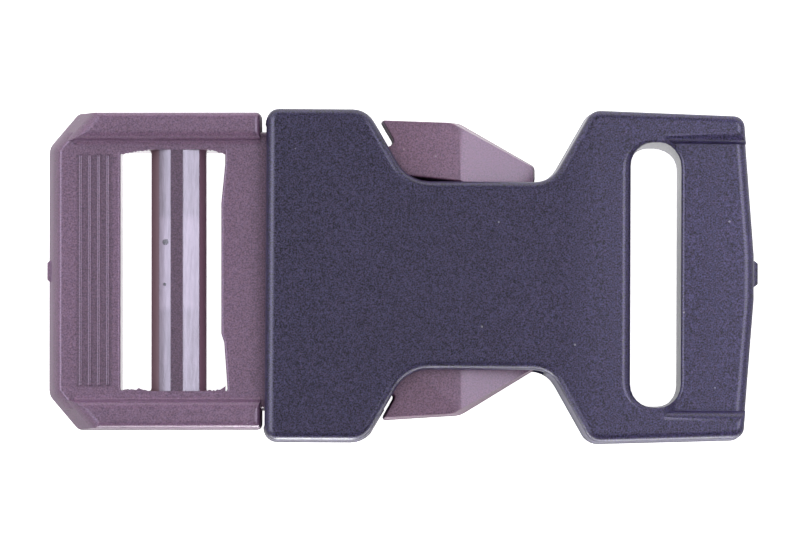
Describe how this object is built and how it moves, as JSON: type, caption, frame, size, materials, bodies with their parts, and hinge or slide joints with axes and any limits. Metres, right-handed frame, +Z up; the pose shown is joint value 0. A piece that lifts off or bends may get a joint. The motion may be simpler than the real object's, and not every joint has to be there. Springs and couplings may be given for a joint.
{
  "type": "side release buckle",
  "caption": "Fastened side release buckle for flat webbing: a barbed plug with a ladder lock bar, latched in a waisted socket with a webbing slot.",
  "frame": {"origin": "middle of the bounding box's base, on the surface that the socket lies on", "axes": "+X along the buckle from the plug's end bar to the socket's end bar, +Y across the webbing, +Z up out of the face"},
  "size_m": [0.0742, 0.0348, 0.0114],
  "materials": {
    "plug": "satin moulded plastic, plum grey, with worn and stained patches",
    "socket": "fine grained moulded plastic, dark slate"
  },
  "bodies": {
    "root": {"plug": "plug", "socket": "socket"}
  },
  "joints": []
}
